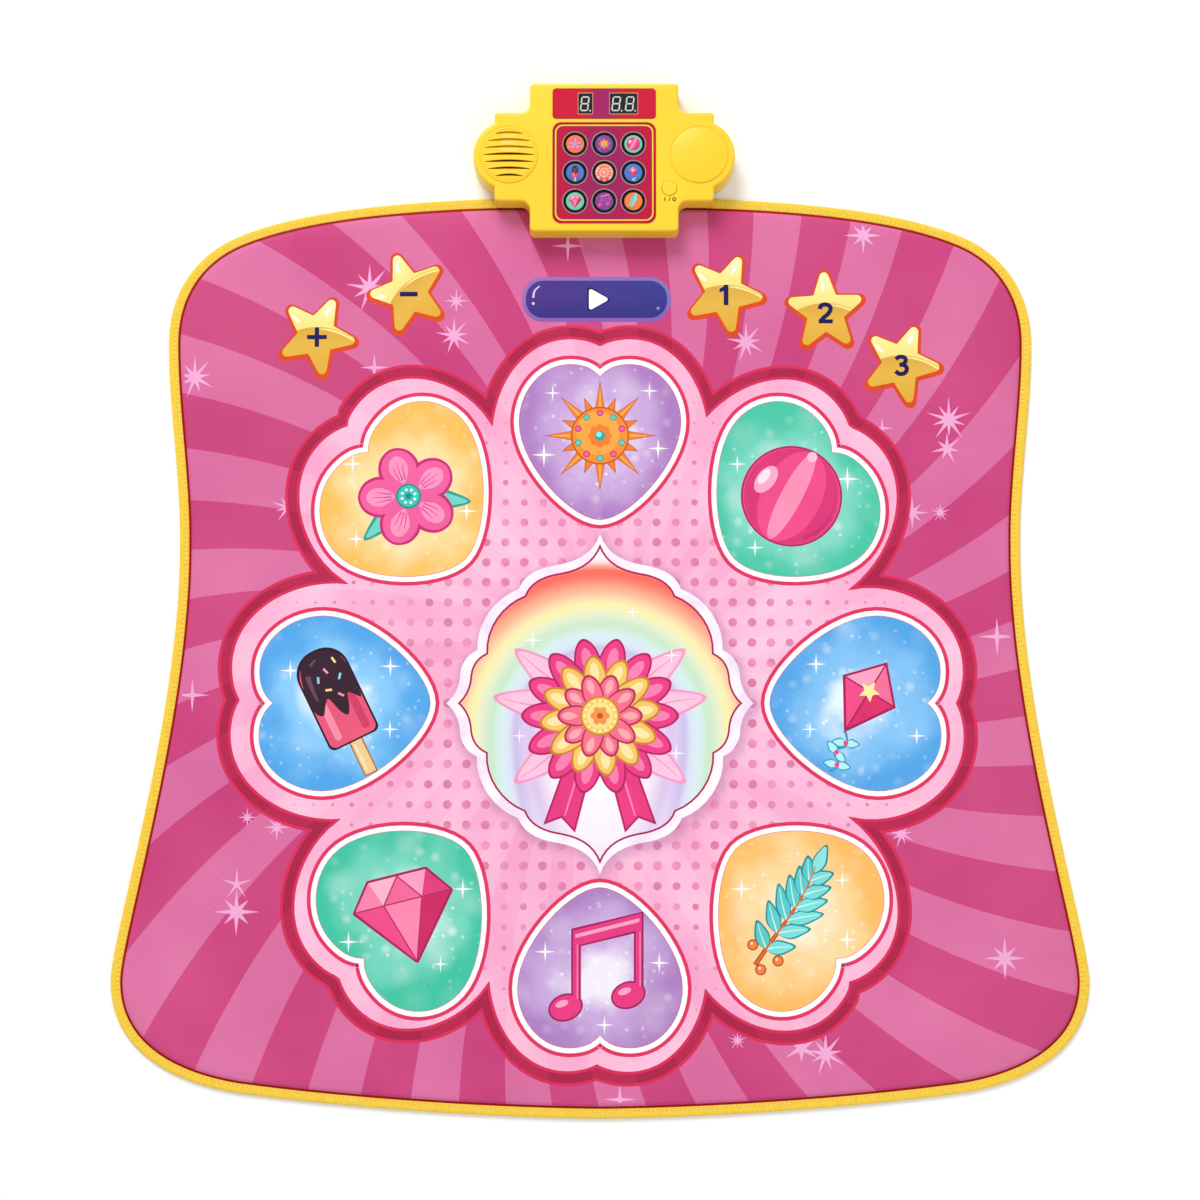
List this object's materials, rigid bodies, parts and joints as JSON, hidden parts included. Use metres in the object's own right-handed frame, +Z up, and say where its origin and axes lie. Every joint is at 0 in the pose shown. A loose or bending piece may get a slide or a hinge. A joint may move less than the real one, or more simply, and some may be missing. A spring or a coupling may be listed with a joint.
{
  "type": "electronic dance mat",
  "caption": "Electronic dance play mat: heart-shaped step pads round a centre pad, star-shaped menu keys, and a battery console with displays, lamps and a speaker.",
  "frame": {"origin": "middle of the bounding box's footprint, on the floor", "axes": "+X to the player's right, +Y from the player to the console, +Z up"},
  "size_m": [0.8926, 0.9528, 0.0315],
  "materials": {
    "binding_yellow": "woven",
    "backing_grey": "matt, fine anti-slip dots",
    "film_clear": "satin",
    "foam_white": "soft foam",
    "print_pink": "satin printed vinyl",
    "shell_yellow": "moulded, semi-gloss",
    "steel": "plated",
    "label_crimson": "gloss printed label",
    "display_black": "gloss",
    "black_plastic": "moulded, gloss",
    "lens_white": "printed translucent",
    "board_green": "coated board",
    "cone_black": "matt paper",
    "cell_sleeve": "plain sleeve",
    "lead_grey": "flexible insulation"
  },
  "bodies": {
    "mat_and_console": {"edge_binding": "binding_yellow", "backing_sheet": "backing_grey", "circuit_film": "film_clear", "spacer_foam": "foam_white", "cover_sheet": "print_pink", "console_top": "shell_yellow", "console_base": "shell_yellow", "clamp_plate": "steel", "display_label": "label_crimson", "indicator_label": "label_crimson", "level_display": "display_black", "score_display": "display_black", "indicator_frame": "black_plastic", "main_board": "board_green", "speaker_frame": "steel", "speaker_lead": "lead_grey", "battery_lead": "lead_grey", "indicator_lens_1": "lens_white", "indicator_lens_2": "lens_white", "indicator_lens_3": "lens_white", "indicator_lens_4": "lens_white", "indicator_lens_5": "lens_white", "indicator_lens_6": "lens_white", "indicator_lens_7": "lens_white", "indicator_lens_8": "lens_white", "indicator_lens_9": "lens_white", "clamp_screw_1": "steel", "clamp_screw_2": "steel", "clamp_screw_3": "steel", "case_screw_1": "steel", "case_screw_2": "steel", "case_screw_3": "steel", "case_screw_4": "steel", "contact_positive": "steel", "contact_bridge_1": "steel", "contact_bridge_2": "steel", "contact_negative": "steel", "battery_1": "cell_sleeve", "battery_2": "cell_sleeve", "battery_3": "cell_sleeve"},
    "pad_back": {"pad_back": "print_pink"},
    "pad_back_right": {"pad_back_right": "print_pink"},
    "pad_right": {"pad_right": "print_pink"},
    "pad_front_right": {"pad_front_right": "print_pink"},
    "pad_front": {"pad_front": "print_pink"},
    "pad_front_left": {"pad_front_left": "print_pink"},
    "pad_left": {"pad_left": "print_pink"},
    "pad_back_left": {"pad_back_left": "print_pink"},
    "pad_centre": {"pad_centre": "print_pink"},
    "key_plus": {"key_plus": "print_pink"},
    "key_minus": {"key_minus": "print_pink"},
    "key_one": {"key_one": "print_pink"},
    "key_two": {"key_two": "print_pink"},
    "key_three": {"key_three": "print_pink"},
    "key_start": {"key_start": "print_pink"},
    "power_button": {"power_button": "shell_yellow"},
    "speaker_cone": {"speaker_cone": "cone_black"},
    "battery_door": {"battery_door": "shell_yellow", "door_screw": "steel"}
  },
  "joints": [
    {"name": "pad_back_press", "type": "slide", "parent": "mat_and_console", "child": "pad_back", "axis": [0, 0, -1], "range_m": [0, 0.0012], "stiffness_N_per_m": 2500, "springref_m": -0.0004},
    {"name": "pad_back_right_press", "type": "slide", "parent": "mat_and_console", "child": "pad_back_right", "axis": [0, 0, -1], "range_m": [0, 0.0012], "stiffness_N_per_m": 2500, "springref_m": -0.0004},
    {"name": "pad_right_press", "type": "slide", "parent": "mat_and_console", "child": "pad_right", "axis": [0, 0, -1], "range_m": [0, 0.0012], "stiffness_N_per_m": 2500, "springref_m": -0.0004},
    {"name": "pad_front_right_press", "type": "slide", "parent": "mat_and_console", "child": "pad_front_right", "axis": [0, 0, -1], "range_m": [0, 0.0012], "stiffness_N_per_m": 2500, "springref_m": -0.0004},
    {"name": "pad_front_press", "type": "slide", "parent": "mat_and_console", "child": "pad_front", "axis": [0, 0, -1], "range_m": [0, 0.0012], "stiffness_N_per_m": 2500, "springref_m": -0.0004},
    {"name": "pad_front_left_press", "type": "slide", "parent": "mat_and_console", "child": "pad_front_left", "axis": [0, 0, -1], "range_m": [0, 0.0012], "stiffness_N_per_m": 2500, "springref_m": -0.0004},
    {"name": "pad_left_press", "type": "slide", "parent": "mat_and_console", "child": "pad_left", "axis": [0, 0, -1], "range_m": [0, 0.0012], "stiffness_N_per_m": 2500, "springref_m": -0.0004},
    {"name": "pad_back_left_press", "type": "slide", "parent": "mat_and_console", "child": "pad_back_left", "axis": [0, 0, -1], "range_m": [0, 0.0012], "stiffness_N_per_m": 2500, "springref_m": -0.0004},
    {"name": "pad_centre_press", "type": "slide", "parent": "mat_and_console", "child": "pad_centre", "axis": [0, 0, -1], "range_m": [0, 0.0012], "stiffness_N_per_m": 2500, "springref_m": -0.0004},
    {"name": "key_plus_press", "type": "slide", "parent": "mat_and_console", "child": "key_plus", "axis": [0, 0, -1], "range_m": [0, 0.0012], "stiffness_N_per_m": 2500, "springref_m": -0.0004},
    {"name": "key_minus_press", "type": "slide", "parent": "mat_and_console", "child": "key_minus", "axis": [0, 0, -1], "range_m": [0, 0.0012], "stiffness_N_per_m": 2500, "springref_m": -0.0004},
    {"name": "key_one_press", "type": "slide", "parent": "mat_and_console", "child": "key_one", "axis": [0, 0, -1], "range_m": [0, 0.0012], "stiffness_N_per_m": 2500, "springref_m": -0.0004},
    {"name": "key_two_press", "type": "slide", "parent": "mat_and_console", "child": "key_two", "axis": [0, 0, -1], "range_m": [0, 0.0012], "stiffness_N_per_m": 2500, "springref_m": -0.0004},
    {"name": "key_three_press", "type": "slide", "parent": "mat_and_console", "child": "key_three", "axis": [0, 0, -1], "range_m": [0, 0.0012], "stiffness_N_per_m": 2500, "springref_m": -0.0004},
    {"name": "key_start_press", "type": "slide", "parent": "mat_and_console", "child": "key_start", "axis": [0, 0, -1], "range_m": [0, 0.0012], "stiffness_N_per_m": 2500, "springref_m": -0.0004},
    {"name": "power_button_press", "type": "slide", "parent": "mat_and_console", "child": "power_button", "axis": [0, 0, -1], "range_m": [0, 0.0015], "stiffness_N_per_m": 1000, "springref_m": -0.0005},
    {"name": "speaker_cone_stroke", "type": "slide", "parent": "mat_and_console", "child": "speaker_cone", "axis": [0, 0, 1], "range_m": [-0.0005, 0.0005], "stiffness_N_per_m": 2000},
    {"name": "battery_door_lift", "type": "slide", "parent": "mat_and_console", "child": "battery_door", "axis": [0, 0, -1], "range_m": [0, 0.03]}
  ]
}
